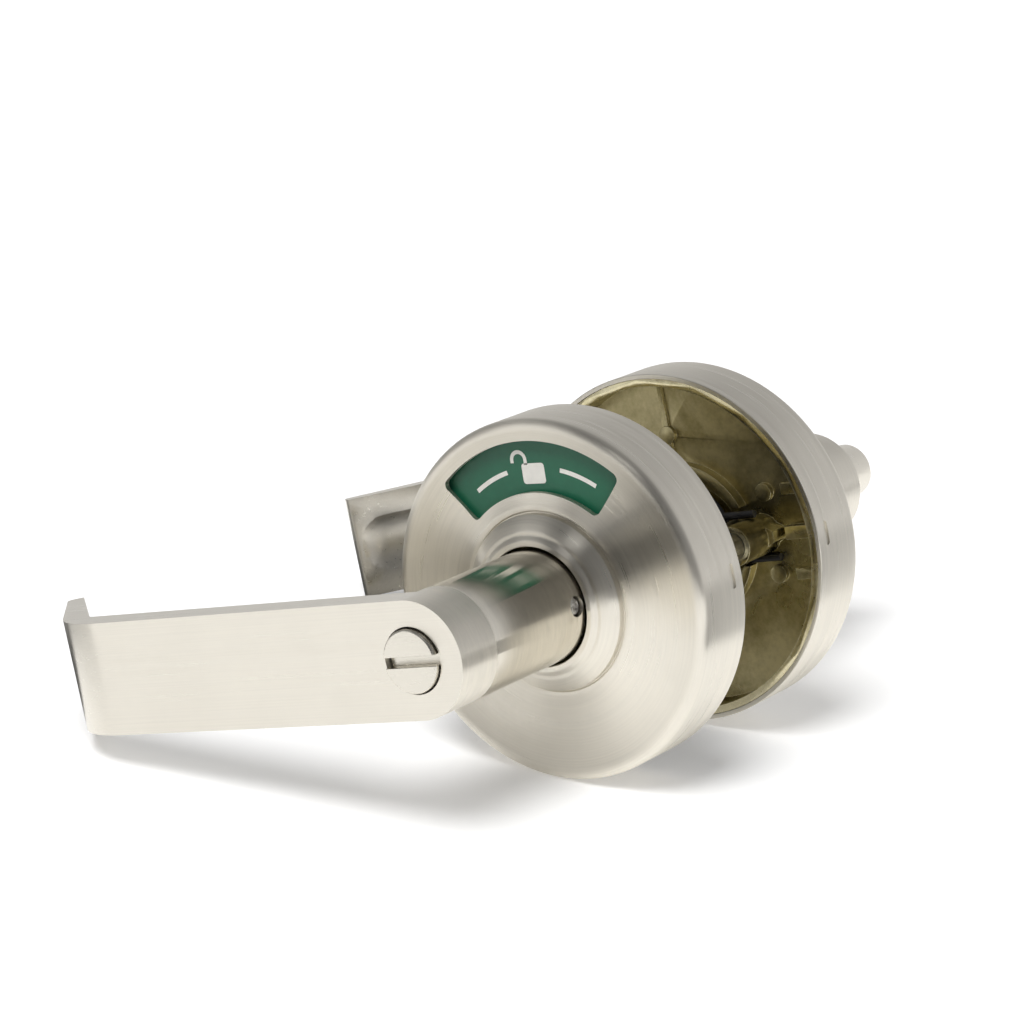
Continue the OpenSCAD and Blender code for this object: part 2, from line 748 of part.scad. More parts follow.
// Cup round the cross pin, with an arm and a tab that turn the disc
module indicator_driver() color(steel) outside() {
    ring(driver_r, driver_in_r, pin_rest - cross_pin_d / 2 - 0.6, driver_w + eps);
    difference() {
        union() {
            disc(driver_r, driver_w, driver_w + driver_t);
            rotate(driver_rest) translate([0, -driver_arm_w / 2, driver_w])
                cube([driver_tab_r, driver_arm_w, driver_t]);
        }
        disc(bar_r + 0.3, driver_w - 1, driver_w + driver_t + 1);
    }
    rotate(driver_rest) translate([driver_tab_r - driver_tab_t, -driver_arm_w / 2, driver_w])
        cube([driver_tab_t, driver_arm_w, disc_w + disc_t - driver_w]);
}

// Square bar through the door, with a flange in the inside spindle and a slot for the cross pin
module drive_bar() color(steel) inside()
    difference() {
        union() {
            intersection() {
                translate([-bar_w / 2, -bar_w / 2, -bar_reach]) cube([bar_w, bar_w, bar_reach + bar_end_w]);
                disc(bar_r, -bar_reach - 1, bar_end_w + 1);
            }
            disc(spindle_in_r - 0.02, hub_w, bar_end_w);
        }
        disc(bar_bore_r, -bar_reach - 2, bar_end_w + 2);
        translate([-bar_w, -cross_pin_d / 2 - 0.1, -pin_rest - button_travel - cross_pin_d / 2 - 0.2])
            cube([2 * bar_w, cross_pin_d + 0.2, button_travel + cross_pin_d + 0.4]);
    }

// Sleeve in the inside lever that the push button slides in
module button_guide() color(nylon) inside()
    ring(lever_bore_r - 0.03, button_r + fit_gap, guide_from_w, guide_w - 0.1);

module push_button() color(nickel) inside()
    difference() {
        union() {
            disc(button_r, button_back_w, front_w + button_proud - button_edge);
            translate([0, 0, front_w + button_proud - button_edge])
                cylinder(r1 = button_r, r2 = button_r - button_edge, h = button_edge);
            disc(spindle_in_r - 0.3, button_back_w, button_back_w + button_collar_t);
        }
        disc(rod_d / 2 + 0.02, button_back_w - 1, button_back_w + button_bore_l);
    }

module lock_rod() color(steel) inside()
    difference() {
        disc(rod_d / 2, -rod_end, button_back_w + button_bore_l - 0.1);
        translate([0, 0, -pin_rest]) rotate([0, 90, 0])
            cylinder(d = cross_pin_d, h = rod_d + 2, center = true, $fn = 36);
    }

module cross_pin() color(steel) inside()
    translate([0, 0, -pin_rest]) rotate([0, 90, 0])
        cylinder(d = cross_pin_d, h = 2 * (driver_in_r - 0.4), center = true, $fn = 36);

// Compression spring round the lock rod
spring_from = bar_end_w + button_wire_r + 0.1;
spring_to = button_back_w - button_wire_r - 0.1;
button_path = [for (i = [0 : button_curls * 8]) let (a = i * 45, f = i / (button_curls * 8))
    [button_coil_r * cos(a), button_coil_r * sin(a), spring_from + f * (spring_to - spring_from)]];
module button_spring() color(black) inside() wire(button_path, button_wire_r);

outside_rose();
outside_plate();
threaded_posts();
outside_bushing();
outside_washer();
outside_return_spring();
outside_lever();
outside_spindle();
clutch_hub();
outside_spring_cam();
outside_retaining_ring();
outside_catch_pin();
outside_catch_spring();
coin_turn();
tailpiece();
coin_turn_clip();
indicator_disc();
green_label();
red_label();
indicator_driver();
inside_rose();
inside_plate();
inside_bushing();
inside_washer();
inside_return_spring();
inside_lever();
inside_spindle();
inside_spring_cam();
inside_retaining_ring();
drive_bar();
inside_catch_pin();
inside_catch_spring();
button_guide();
push_button();
lock_rod();
cross_pin();
button_spring();
mounting_screws();
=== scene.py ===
import json
import math

import bmesh
import bpy
from mathutils import Matrix, Vector

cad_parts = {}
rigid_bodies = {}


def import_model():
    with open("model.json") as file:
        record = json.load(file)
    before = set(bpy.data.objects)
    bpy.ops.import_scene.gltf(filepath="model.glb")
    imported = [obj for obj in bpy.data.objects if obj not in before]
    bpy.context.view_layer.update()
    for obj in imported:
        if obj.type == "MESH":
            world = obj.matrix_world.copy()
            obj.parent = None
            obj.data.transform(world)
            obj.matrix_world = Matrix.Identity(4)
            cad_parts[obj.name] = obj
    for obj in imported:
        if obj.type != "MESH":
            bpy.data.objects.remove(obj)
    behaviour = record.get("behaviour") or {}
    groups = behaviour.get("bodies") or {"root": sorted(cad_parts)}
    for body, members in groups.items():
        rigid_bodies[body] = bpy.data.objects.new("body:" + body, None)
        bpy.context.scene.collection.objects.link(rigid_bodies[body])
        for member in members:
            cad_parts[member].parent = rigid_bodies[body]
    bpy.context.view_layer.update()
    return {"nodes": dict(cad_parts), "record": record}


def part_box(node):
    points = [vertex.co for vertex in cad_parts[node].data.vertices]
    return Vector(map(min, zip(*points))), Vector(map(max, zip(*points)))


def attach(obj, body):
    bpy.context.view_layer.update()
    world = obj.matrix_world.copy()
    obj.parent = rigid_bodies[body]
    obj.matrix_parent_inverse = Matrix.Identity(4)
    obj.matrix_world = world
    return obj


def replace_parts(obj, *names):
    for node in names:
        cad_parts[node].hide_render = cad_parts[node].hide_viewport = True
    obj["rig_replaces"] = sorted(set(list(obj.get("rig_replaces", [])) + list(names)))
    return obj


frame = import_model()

mm = 0.001
weldGap = 0.002 * mm         # points of a mesh that lie closer than this are one point
ringGap = 0.0005 * mm        # the same on a spun mesh, whose rings are finer
past = 1                     # how far, in mm, a cutter goes past what it cuts
outside, inside = -1, 1      # which way a trim faces along the lock's axis
print("frame loaded with", len(frame["nodes"]), "nodes")


# levels and radii that the pieces share, in mm, taken from the frame
def cornerOf(node, corner, axis):
    return abs(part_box(node)[corner][axis]) / mm


lock = {
    "doorFace": cornerOf("inside_rose", 0, 1),
    "roseRadius": cornerOf("inside_rose", 1, 0),
    "collarLip": cornerOf("inside_rose", 1, 1),
    "neckRadius": cornerOf("inside_lever", 1, 0),
    "neckBack": cornerOf("inside_lever", 0, 1),
    "leverFront": cornerOf("inside_lever", 1, 1),
    "buttonEnd": cornerOf("push_button", 1, 1),
    "coinTurnEnd": cornerOf("coin_turn", 0, 1),
    "labelTop": cornerOf("green_label", 0, 1),
}


# basic mesh work
def linkPiece(name, mesh):
    piece = bpy.data.objects.new(name, mesh)
    bpy.context.scene.collection.objects.link(piece)
    return piece


def plainMesh(piece):
    # the piece's mesh with its modifiers applied
    graph = bpy.context.evaluated_depsgraph_get()
    return bpy.data.meshes.new_from_object(piece.evaluated_get(graph))


def bmeshOf(mesh):
    work = bmesh.new()
    work.from_mesh(mesh)
    return work


def writeMesh(work, mesh):
    work.to_mesh(mesh)
    work.free()
    return mesh


def finishMesh(work, name):
    bmesh.ops.remove_doubles(work, verts=work.verts, dist=weldGap)
    bmesh.ops.recalc_face_normals(work, faces=work.faces)
    return writeMesh(work, bpy.data.meshes.new(name))


def spunMesh(name, profile, side, steps=160):
    # profile: closed list of (radius, level) in mm
    work = bmesh.new()
    rings = []
    for i in range(steps):
        a = 2 * math.pi * i / steps
        rings.append([work.verts.new((r * math.cos(a) * mm, side * w * mm, r * math.sin(a) * mm))
                      for r, w in profile])
    for i in range(steps):
        here, after = rings[i], rings[(i + 1) % steps]
        for k in range(len(profile)):
            n = (k + 1) % len(profile)
            if profile[k][0] < 1e-6 and profile[n][0] < 1e-6:
                continue
            work.faces.new((here[k], here[n], after[n], after[k]))
    bmesh.ops.remove_doubles(work, verts=work.verts, dist=ringGap)
    bmesh.ops.dissolve_degenerate(work, dist=ringGap, edges=work.edges)
    return finishMesh(work, name)


def prismMesh(name, outline, plane, low, high, side):
    # outline in mm in the plane named by two of the letters u (across), v (up) and w (level)
    across = {"uv": (0, 1, 2), "uw": (0, 2, 1), "vw": (1, 2, 0)}[plane]
    work = bmesh.new()
    ends = []
    for level in (low, high):
        ring = []
        for a, b in outline:
            spot = [0, 0, 0]
            spot[across[0]], spot[across[1]], spot[across[2]] = a, b, level
            ring.append(work.verts.new((spot[0] * mm, side * spot[2] * mm, spot[1] * mm)))
        ends.append(ring)
    for ring in ends:
        work.faces.new(ring)
    for k in range(len(outline)):
        n = (k + 1) % len(outline)
        work.faces.new((ends[0][k], ends[0][n], ends[1][n], ends[1][k]))
    return finishMesh(work, name)


def arcPoints(cx, cy, r, start, end, steps):
    return [(cx + r * math.cos(math.radians(start + (end - start) * i / steps)),
             cy + r * math.sin(math.radians(start + (end - start) * i / steps)))
            for i in range(steps + 1)]


def roundCorners(corners, steps=4):
    # corners: closed list of (a, b, radius)
    points = []
    for i, (a, b, r) in enumerate(corners):
        here = Vector((a, b))
        if r <= 0:
            points.append((a, b))
            continue
        before = (Vector(corners[i - 1][:2]) - here).normalized()
        after = (Vector(corners[(i + 1) % len(corners)][:2]) - here).normalized()
        half = before.angle(after) / 2
        middle = here + (before + after).normalized() * r / math.sin(half)
        first = here + before * r / math.tan(half) - middle
        last = here + after * r / math.tan(half) - middle
        turn = first.angle_signed(last)
        for k in range(steps + 1):
            c, s = math.cos(-turn * k / steps), math.sin(-turn * k / steps)
            spoke = Vector((first.x * c - first.y * s, first.x * s + first.y * c))
            points.append(tuple(middle + spoke))
    return points


def carve(piece, cutters, operation="DIFFERENCE"):
    for cutter in cutters:
        change = piece.modifiers.new("carve", "BOOLEAN")
        change.operation = operation
        change.solver = "EXACT"
        change.object = cutter
    mesh = plainMesh(piece)
    piece.modifiers.clear()
    piece.data = mesh
    for cutter in cutters:
        bpy.data.objects.remove(cutter)


def softenEdges(piece, width, angle, segments=2, edgeFinish=-1):
    # smooth shading, and a bevel of this width in mm on edges sharper than the angle
    for face in piece.data.polygons:
        face.use_smooth = True
    if width > 0:
        bevel = piece.modifiers.new("bevel", "BEVEL")
        bevel.width = width * mm
        bevel.segments = segments
        bevel.limit_method = "ANGLE"
        bevel.angle_limit = math.radians(angle)
        bevel.harden_normals = True
        # the bevel can take another slot: on the plates it carries a painted highlight
        bevel.material = edgeFinish
        bevel.use_clamp_overlap = True
        piece.data = plainMesh(piece)
        piece.modifiers.clear()
    else:
        piece.data.set_sharp_from_angle(angle=math.radians(angle))


def bodyOf(node):
    return next(b for b, names in frame["record"]["behaviour"]["bodies"].items() if node in names)


def slotOf(node):
    return next(s["material_slot"] for s in frame["record"]["subparts"] if s["node"] == node)


def standIn(piece, *nodes):
    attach(piece, bodyOf(nodes[0]))
    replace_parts(piece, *nodes)


# materials
noiseLow, noiseHigh = 0.3, 0.7      # a noise keeps mostly between these values


def addNode(tree, kind, values=None, **settings):
    node = tree.nodes.new(kind)
    for key, value in settings.items():
        setattr(node, key, value)
    for key, value in (values or {}).items():
        node.inputs[key].default_value = value
    return node


def newMaterial(name, color, metallic, roughness, anisotropic=0.0):
    material = bpy.data.materials.new(name)
    material.use_nodes = True
    shader = material.node_tree.nodes["Principled BSDF"]
    shader.inputs["Base Color"].default_value = (*color, 1)
    shader.inputs["Metallic"].default_value = metallic
    shader.inputs["Roughness"].default_value = roughness
    shader.inputs["Anisotropic"].default_value = anisotropic
    return material, material.node_tree, shader


def toneRamp(tree, source, stops):
    # stops: (position, colour) from low to high
    ramp = addNode(tree, "ShaderNodeValToRGB")
    elements = ramp.color_ramp.elements
    while len(elements) < len(stops):
        elements.new(0.5)
    for element, (position, color) in zip(elements, stops):
        element.position = position
        element.color = (*color, 1)
    tree.links.new(source, ramp.inputs[0])
    return ramp.outputs[0]


def shadeStops(color, shade):
    # a little darker and a little lighter than a colour, over the middle of a noise
    dark, light = ([min(1, c * (1 + change)) for c in color] for change in (-shade, shade))
    return ((noiseLow, dark), (noiseHigh, light))


def mixedNoise(tree, one, two, share):
    # share is how much of the second noise there is
    blend = addNode(tree, "ShaderNodeMix", {0: share}, data_type="FLOAT")
    tree.links.new(one, blend.inputs[2])
    tree.links.new(two, blend.inputs[3])
    return blend.outputs[0]


def roughen(tree, shader, source, smoothest, roughest):
    rough = addNode(tree, "ShaderNodeMapRange", {1: noiseLow, 2: noiseHigh, 3: smoothest, 4: roughest})
    tree.links.new(source, rough.inputs[0])
    tree.links.new(rough.outputs[0], shader.inputs["Roughness"])


def emboss(tree, shader, source, strength, depth):
    bump = addNode(tree, "ShaderNodeBump", {"Strength": strength, "Distance": depth * mm})
    tree.links.new(source, bump.inputs["Height"])
    tree.links.new(bump.outputs[0], shader.inputs["Normal"])


def grainVector(tree, direction, lines, streak):
    # coordinates that run slowly along the brushing and fast across it
    place = addNode(tree, "ShaderNodeTexCoord")
    split = addNode(tree, "ShaderNodeSeparateXYZ")
    tree.links.new(place.outputs["Object"], split.inputs[0])
    join = addNode(tree, "ShaderNodeCombineXYZ")

    def scaled(source, factor):
        times = addNode(tree, "ShaderNodeMath", {1: factor}, operation="MULTIPLY")
        tree.links.new(source, times.inputs[0])
        return times.outputs[0]

    def added(one, two):
        plus = addNode(tree, "ShaderNodeMath", operation="ADD")
        tree.links.new(one, plus.inputs[0])
        tree.links.new(two, plus.inputs[1])
        return plus.outputs[0]

    if direction == "around":
        flat = addNode(tree, "ShaderNodeCombineXYZ")
        tree.links.new(split.outputs["X"], flat.inputs["X"])
        tree.links.new(split.outputs["Z"], flat.inputs["Z"])
        radius = addNode(tree, "ShaderNodeVectorMath", operation="LENGTH")
        unit = addNode(tree, "ShaderNodeVectorMath", operation="NORMALIZE")
        for node in (radius, unit):
            tree.links.new(flat.outputs[0], node.inputs[0])
        turn = addNode(tree, "ShaderNodeSeparateXYZ")
        tree.links.new(unit.outputs[0], turn.inputs[0])
        tree.links.new(added(scaled(radius.outputs["Value"], lines), scaled(turn.outputs["X"], streak)),
                       join.inputs["X"])
        tree.links.new(scaled(split.outputs["Y"], lines), join.inputs["Y"])
        tree.links.new(scaled(turn.outputs["Z"], streak), join.inputs["Z"])
    else:
        tree.links.new(scaled(split.outputs["X"], streak), join.inputs["X"])
        tree.links.new(scaled(split.outputs["Y"], lines), join.inputs["Y"])
        tree.links.new(scaled(split.outputs["Z"], lines), join.inputs["Z"])
    return place.outputs["Object"], join.outputs[0]


def brushedMetal(name, color, roughness, direction, lines=2200, streak=4, anisotropic=0.75,
                 depth=0.0012, shade=0.05, spread=0.06):
    material, tree, shader = newMaterial(name, color, 1.0, roughness, anisotropic)
    place, grain = grainVector(tree, direction, lines, streak)
    fine = addNode(tree, "ShaderNodeTexNoise", {"Scale": 1.0, "Detail": 2.0, "Roughness": 0.6})
    broad = addNode(tree, "ShaderNodeTexNoise", {"Scale": 0.25, "Detail": 2.0, "Roughness": 0.6})
    cloud = addNode(tree, "ShaderNodeTexNoise", {"Scale": 60.0, "Detail": 3.0, "Roughness": 0.6})
    for noise, source in ((fine, grain), (broad, grain), (cloud, place)):
        tree.links.new(source, noise.inputs["Vector"])
    lineNoise = mixedNoise(tree, fine.outputs["Fac"], broad.outputs["Fac"], 0.5)
    cloudNoise = mixedNoise(tree, lineNoise, cloud.outputs["Fac"], 0.25)
    roughen(tree, shader, lineNoise, roughness - spread, roughness + spread)
    tree.links.new(toneRamp(tree, cloudNoise, shadeStops(color, shade)), shader.inputs["Base Color"])
    emboss(tree, shader, lineNoise, 0.6, depth)
    # the highlight stretches across the brushing
    if direction == "around":
        tangent = addNode(tree, "ShaderNodeVectorMath", {0: (0, 1, 0)}, operation="CROSS_PRODUCT")
        tree.links.new(place, tangent.inputs[1])
    else:
        tangent = addNode(tree, "ShaderNodeCombineXYZ", {"X": 1.0})
    turned = addNode(tree, "ShaderNodeVectorTransform", vector_type="VECTOR",
                     convert_from="OBJECT", convert_to="WORLD")
    tree.links.new(tangent.outputs[0], turned.inputs[0])
    tree.links.new(turned.outputs[0], shader.inputs["Tangent"])
    shader.inputs["Anisotropic Rotation"].default_value = 0.25
    return material


def polishBeyond(material, level, blur, roughness, shade):
    # smoother and darker on the door's side of a level, in mm from the middle of the door
    tree = material.node_tree
    shader = tree.nodes["Principled BSDF"]
    place = addNode(tree, "ShaderNodeTexCoord")
    split = addNode(tree, "ShaderNodeSeparateXYZ")
    tree.links.new(place.outputs["Object"], split.inputs[0])
    size = addNode(tree, "ShaderNodeMath", operation="ABSOLUTE")
    tree.links.new(split.outputs["Y"], size.inputs[0])
    step = addNode(tree, "ShaderNodeMapRange", {1: (level - blur) * mm, 2: (level + blur) * mm})
    tree.links.new(size.outputs[0], step.inputs[0])
    rough = addNode(tree, "ShaderNodeMix", {2: roughness}, data_type="FLOAT")
    tree.links.new(step.outputs[0], rough.inputs[0])
    tree.links.new(shader.inputs["Roughness"].links[0].from_socket, rough.inputs[3])
    tree.links.new(rough.outputs[0], shader.inputs["Roughness"])
    tone = addNode(tree, "ShaderNodeMix", {6: (shade, shade, shade, 1), 7: (1, 1, 1, 1)}, data_type="RGBA")
    tree.links.new(step.outputs[0], tone.inputs[0])
    times = addNode(tree, "ShaderNodeMix", {0: 1.0}, data_type="RGBA", blend_type="MULTIPLY")
    tree.links.new(shader.inputs["Base Color"].links[0].from_socket, times.inputs[6])
    tree.links.new(tone.outputs[2], times.inputs[7])
    tree.links.new(times.outputs[2], shader.inputs["Base Color"])


def mottledMetal(name, dark, light, roughness, scale, depth, metallic=1.0):
    material, tree, shader = newMaterial(name, light, metallic, roughness)
    place = addNode(tree, "ShaderNodeTexCoord")
    large = addNode(tree, "ShaderNodeTexNoise", {"Scale": scale, "Detail": 5.0, "Roughness": 0.6,
                                                 "Distortion": 0.6})
    small = addNode(tree, "ShaderNodeTexNoise", {"Scale": scale * 14, "Detail": 3.0, "Roughness": 0.7})
    for noise in (large, small):
        tree.links.new(place.outputs["Object"], noise.inputs["Vector"])
    spots = mixedNoise(tree, large.outputs["Fac"], small.outputs["Fac"], 0.25)
    tree.links.new(toneRamp(tree, spots, ((0.36, dark), (0.62, light))), shader.inputs["Base Color"])
    roughen(tree, shader, large.outputs["Fac"], roughness - 0.1, roughness + 0.12)
    emboss(tree, shader, small.outputs["Fac"], 0.5, depth)
    return material


def paintedSurface(name, color, roughness, coat):
    # a thin coat of paint or film, with a faint grain
    material, tree, shader = newMaterial(name, color, 0.0, roughness)
    shader.inputs["Coat Weight"].default_value = coat
    shader.inputs["Coat Roughness"].default_value = 0.12
    place = addNode(tree, "ShaderNodeTexCoord")
    noise = addNode(tree, "ShaderNodeTexNoise", {"Scale": 400, "Detail": 4.0, "Roughness": 0.6})
    tree.links.new(place.outputs["Object"], noise.inputs["Vector"])
    tree.links.new(toneRamp(tree, noise.outputs["Fac"], shadeStops(color, 0.05)), shader.inputs["Base Color"])
    emboss(tree, shader, noise.outputs["Fac"], 0.3, 0.004)
    return material


nickel = (0.82, 0.78, 0.69)
finish = {
    "roseNickel": brushedMetal("roseNickel", nickel, 0.33, "around", lines=1900, streak=2, anisotropic=0.96,
                               depth=0.0013, shade=0.09, spread=0.08),
    "neckNickel": brushedMetal("neckNickel", nickel, 0.34, "around", lines=1700, streak=3, anisotropic=0.85,
                               shade=0.09),
    "armNickel": brushedMetal("armNickel", nickel, 0.32, "along", lines=2600, streak=20, anisotropic=0.85,
                              shade=0.06),
    "headNickel": brushedMetal("headNickel", [c * 0.9 for c in nickel], 0.26, "along", lines=2600, streak=120,
                               anisotropic=0.4, depth=0.0008),
    "buttonNickel": brushedMetal("buttonNickel", nickel, 0.32, "around", streak=5, anisotropic=0.5),
    "yellowZinc": mottledMetal("yellowZinc", (0.3, 0.262, 0.13), (0.66, 0.585, 0.345), 0.30, 40, 0.02),
    # bright zinc paints a highlight on the plates' bevelled edges and brightens their door side
    "brightZinc": mottledMetal("brightZinc", (0.62, 0.55, 0.33), (0.90, 0.83, 0.58), 0.24, 60, 0.01),
    "brightSteel": mottledMetal("brightSteel", (0.2, 0.19, 0.18), (0.86, 0.85, 0.82), 0.3, 900, 0.02, 0.8),
    "platedSteel": mottledMetal("platedSteel", (0.45, 0.45, 0.46), (0.62, 0.62, 0.64), 0.3, 90, 0.01),
    "blackSteel": mottledMetal("blackSteel", (0.012, 0.012, 0.013), (0.03, 0.03, 0.032), 0.35, 120, 0.01,
                               0.4),
    "bronze": mottledMetal("bronze", (0.35, 0.22, 0.10), (0.5, 0.34, 0.17), 0.45, 150, 0.02),
    "nylon": paintedSurface("nylon", (0.75, 0.73, 0.66), 0.5, 0.0),
    "greenFilm": paintedSurface("greenFilm", (0.013, 0.125, 0.066), 0.4, 0.1),
    "redFilm": paintedSurface("redFilm", (0.45, 0.02, 0.025), 0.35, 0.3),
    "whiteInk": paintedSurface("whiteInk", (0.82, 0.80, 0.74), 0.4, 0.2),
}
slotFinish = {
    "satin_nickel": "armNickel", "yellow_zinc": "yellowZinc", "plated_steel": "platedSteel",
    "black_steel": "blackSteel", "bronze": "bronze", "nylon": "nylon", "green_label": "greenFilm",
    "red_label": "redFilm", "button_nickel": "headNickel",
}
# length of the brushed end of a neck, from the arm's face, and how the rest is polished
neckPolish = {"brushed": 13.3, "blur": 0.2, "roughness": 0.13, "shade": 0.95}
polishBeyond(finish["neckNickel"], lock["leverFront"] - neckPolish["brushed"], neckPolish["blur"],
             neckPolish["roughness"], neckPolish["shade"])
print("materials made:", len(finish))


# roses: spun covers, the outside one with its window
rose = {
    "wall": 1.1, "rim": 2.0, "faceBelowLip": 5.0, "dishDepth": 1.1, "dishFrom": 23.3, "dishTo": 41.85,
    "collarRadius": 21.7, "collarStep": 1.3, "hole": 14.7, "lipWidth": 1.3, "bulge": 16.0,
    "valleyAt": 17.25, "valleyWidth": 0.65, "valleyDepth": 0.4, "grooveWidth": 0.65, "grooveDepth": 0.4,
    "grooveEdge": 0.1, "innerFace": 2.2, "innerFoot": 0.2, "innerChamfer": 1.0, "edge": 0.25,
    "windowIn": 26.5, "windowOut": 39.1, "windowHalf": 41.8, "windowCorner": 1.7, "windowTurn": -2.6,
    "windowCutFrom": 12.0, "windowCutPast": 5.0,
    "dentLevel": 3.9, "dentLength": 6.0, "dentHeight": 1.7, "dentDepth": 0.5,
}


def roseProfile():
    r, back, lip = lock["roseRadius"], lock["doorFace"], lock["collarLip"]
    face = lip - rose["faceBelowLip"]
    chord = rose["dishTo"] - rose["dishFrom"]
    dishRadius = chord ** 2 / (8 * rose["dishDepth"]) + rose["dishDepth"] / 2
    dishMiddle = (rose["dishFrom"] + rose["dishTo"]) / 2
    dishCentre = face - rose["dishDepth"] + dishRadius
    half = math.degrees(math.asin(chord / 2 / dishRadius))
    dish = arcPoints(dishMiddle, dishCentre, dishRadius, -90 + half, -90 - half, 28)
    foot = Vector((rose["collarRadius"], face + rose["collarStep"]))
    top = Vector((rose["hole"] + rose["lipWidth"], lip))
    flank = foot - top
    inward = Vector((flank.y, -flank.x)).normalized()
    centre = (foot + top) / 2 + inward * math.sqrt(rose["bulge"] ** 2 - flank.length_squared / 4)
    angles = [math.degrees(math.atan2(p.y - centre.y, p.x - centre.x)) for p in (foot, top)]
    flankArc = arcPoints(centre.x, centre.y, rose["bulge"], angles[0], angles[1], 32)
    # a shallow valley sets off the lip round the neck
    sink = [math.exp(-((a - rose["valleyAt"]) / rose["valleyWidth"]) ** 2) for a, b in flankArc]
    flankArc = [(a, b - rose["valleyDepth"] * k) for (a, b), k in zip(flankArc, sink)]
    inner, wall = face - rose["innerFace"], rose["wall"]
    corners = [(r, back, rose["edge"]), (r, face, rose["rim"])]
    corners += [(a, b, 0) for a, b in dish]
    # a groove runs round the collar's foot
    collar, groove = rose["collarRadius"], face - rose["grooveDepth"]
    width, edge = rose["grooveWidth"], rose["grooveEdge"]
    corners += [(collar + width, face, edge), (collar + width / 2, groove, edge), (collar, groove, edge)]
    corners += [(*flankArc[0], rose["edge"])] + [(a, b, 0) for a, b in flankArc[1:-1]]
    corners += [(*flankArc[-1], rose["edge"]), (rose["hole"], lip, rose["edge"]),
                (rose["hole"], lip - wall, 0), (rose["hole"] + rose["innerChamfer"], lip - wall, 0),
                (collar - wall, face + rose["innerFoot"], 0), (collar - wall / 2, inner, 0),
                (r - wall - rose["rim"] / 2, inner, 0), (r - wall, inner - rose["innerChamfer"], 0),
                (r - wall, back, 0)]
    return roundCorners(corners, 8)


def turnOutline(outline, degrees):
    c, s = math.cos(math.radians(degrees)), math.sin(math.radians(degrees))
    return [(u * c - v * s, u * s + v * c) for u, v in outline]


def sectorOutline(rIn, rOut, half, corner, steps=40):
    # a stretch of a ring, half degrees to each side of the top, with rounded corners
    turnIn = math.degrees(math.asin(corner / (rIn + corner)))
    turnOut = math.degrees(math.asin(corner / (rOut - corner)))
    points = arcPoints(0, 0, rOut, 90 - half + turnOut, 90 + half - turnOut, steps)
    for way in (1, -1):
        outAngle, inAngle = 90 + way * (half - turnOut), 90 + way * (half - turnIn)
        side = 90 + way * (half + 90)
        outSpot = [(rOut - corner) * f(math.radians(outAngle)) for f in (math.cos, math.sin)]
        inSpot = [(rIn + corner) * f(math.radians(inAngle)) for f in (math.cos, math.sin)]
        outArc = arcPoints(*outSpot, corner, outAngle, side, 6)
        inArc = arcPoints(*inSpot, corner, side, inAngle + way * 180, 6)
        if way > 0:
            points += outArc[1:] + inArc + arcPoints(0, 0, rIn, inAngle, 180 - inAngle, steps)[1:]
        else:
            points += inArc[::-1][1:] + outArc[::-1][:-1]
    return points


def dentCutters(side):
    # short dents in the rim, one on each side
    level = lock["doorFace"] + rose["dentLevel"]
    reach, r = (rose["dentLength"] - rose["dentHeight"]) / 2, rose["dentHeight"] / 2
    outline = arcPoints(reach, level, r, -90, 90, 8) + arcPoints(-reach, level, r, 90, 270, 8)
    near, far = lock["roseRadius"] - rose["dentDepth"], lock["roseRadius"] + past
    return [linkPiece("dentCutter", prismMesh("dentCutter", outline, "vw", way * near, way * far, side))
            for way in (-1, 1)]


def makeRose(name, side, node):
    piece = linkPiece(name, spunMesh(name, roseProfile(), side, 200))
    cutters = dentCutters(side)
    if side == outside:
        outline = sectorOutline(rose["windowIn"], rose["windowOut"], rose["windowHalf"],
                                rose["windowCorner"])
        outline = turnOutline(outline, rose["windowTurn"])
        low, high = lock["doorFace"] + rose["windowCutFrom"], lock["collarLip"] + rose["windowCutPast"]
        cutters.append(linkPiece("windowCutter", prismMesh("windowCutter", outline, "uv", low, high, side)))
    carve(piece, cutters)
    piece.data.materials.append(finish["roseNickel"])
    softenEdges(piece, 0, 40)
    standIn(piece, node)


makeRose("roseOutside", outside, "outside_rose")
makeRose("roseInside", inside, "inside_rose")
print("roses made")


# levers: round neck, flat arm, turned-back tip and the hollow behind
lever = {
    "armThickness": 8.5, "armLength": 108.0, "bendRadius": 26.0, "tipAngle": 48.5, "tipLength": 41.5,
    "tipThickness": 4.2, "tipRound": 1.6, "innerShift": 1.8, "scoopRadius": 12.0, "scoopDepth": 3.0,
    "scoopElbow": 13.0, "tipLand": 6.0, "boreRadius": 9.88, "web": 16.0, "pocket": 8.0,
    "turnPocketRadius": 8.0, "stemHole": 4.08, "buttonHole": 7.6, "buttonHoleFoot": 20.0,
    "catchLevel": 42.6, "catchHole": 2.5, "catchFrom": 5.0, "edge": 0.5, "tipInnerRound": 0.6,
    "elbowRound": 1.5, "scoopFromNeck": 1.0, "neckMargin": 0.2, "neckSlope": 0.2,
}


def armOutline():
    front, length = lock["leverFront"], lever["armLength"]
    angle = math.radians(lever["tipAngle"])
    along = Vector((-math.cos(angle), -math.sin(angle)))
    tangent = lever["bendRadius"] * math.tan(angle / 2)
    bend = arcPoints(-length + tangent, front - lever["bendRadius"], lever["bendRadius"],
                     90, 90 + lever["tipAngle"], 24)
    tipOut = Vector((-length, front)) + along * lever["tipLength"]
    tipIn = tipOut + lever["tipThickness"] * Vector((math.sin(angle), -math.cos(angle)))
    corner = Vector((-length + lever["innerShift"], front - lever["armThickness"]))
    corners = [(0, front, 0)] + [(a, b, 0) for a, b in bend]
    corners += [(*tipOut, lever["tipRound"]), (*tipIn, lever["tipInnerRound"]),
                (*corner, lever["elbowRound"]), (0, corner.y, 0)]
    return roundCorners(corners, 5), corner, tipIn


